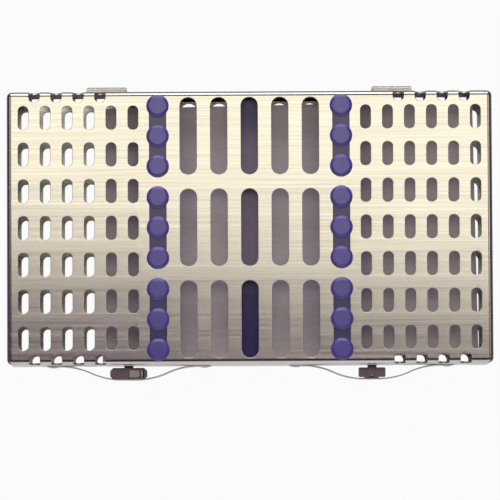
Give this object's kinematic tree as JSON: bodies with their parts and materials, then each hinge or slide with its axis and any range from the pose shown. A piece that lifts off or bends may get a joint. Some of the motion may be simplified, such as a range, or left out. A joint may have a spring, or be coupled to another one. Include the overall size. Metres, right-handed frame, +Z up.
{
  "type": "instrument cassette",
  "caption": "Flat perforated steel case for small surgical instruments, with silicone retainers, a hinged lid and bow-spring latches.",
  "frame": {"origin": "middle of the box that bounds the closed cassette, on the plane it rests on", "axes": "+X along the cassette, +Y from the latches to the hinges, +Z up out of the lid"},
  "size_m": [0.2032, 0.1234, 0.0318],
  "materials": {
    "sheet_steel": "fine brushing along the length",
    "plain_steel": "matt, tumbled",
    "spring_steel": "bright edges",
    "dark_steel": "dark oxide",
    "silicone": "satin blue-violet silicone",
    "card": "matt grey-lilac card"
  },
  "bodies": {
    "base": {"base_tray": "sheet_steel", "base_rail_left": "silicone", "base_rail_right": "silicone", "insert_card": "card", "hinge_base_leaf_left": "plain_steel", "hinge_base_leaf_right": "plain_steel", "hinge_pin_left": "plain_steel", "hinge_pin_right": "plain_steel", "latch_spring_left": "spring_steel", "latch_spring_right": "spring_steel", "latch_rivets": "plain_steel"},
    "lid": {"lid_shell": "sheet_steel", "lid_strip_left": "silicone", "lid_strip_right": "silicone", "centre_bar": "plain_steel", "centre_sleeve": "silicone", "hinge_lid_leaf_left": "plain_steel", "hinge_lid_leaf_right": "plain_steel"},
    "left_latch": {"latch_tongue_left": "dark_steel", "latch_grip_left": "dark_steel"},
    "right_latch": {"latch_tongue_right": "dark_steel"}
  },
  "joints": [
    {"name": "lid_hinge", "type": "hinge", "parent": "base", "child": "lid", "pos_m": [0, 0.06035, 0.018], "axis": [-1, 0, 0], "range_deg": [0, 180]},
    {"name": "left_latch_slide", "type": "slide", "parent": "base", "child": "left_latch", "axis": [0, -1, 0], "range_m": [-0.0011, 0], "stiffness_N_per_m": 800, "springref_m": -0.0011, "deforming": ["latch_spring_left"]},
    {"name": "right_latch_slide", "type": "slide", "parent": "base", "child": "right_latch", "axis": [0, -1, 0], "range_m": [-0.0011, 0], "stiffness_N_per_m": 800, "springref_m": -0.0011, "deforming": ["latch_spring_right"]}
  ]
}
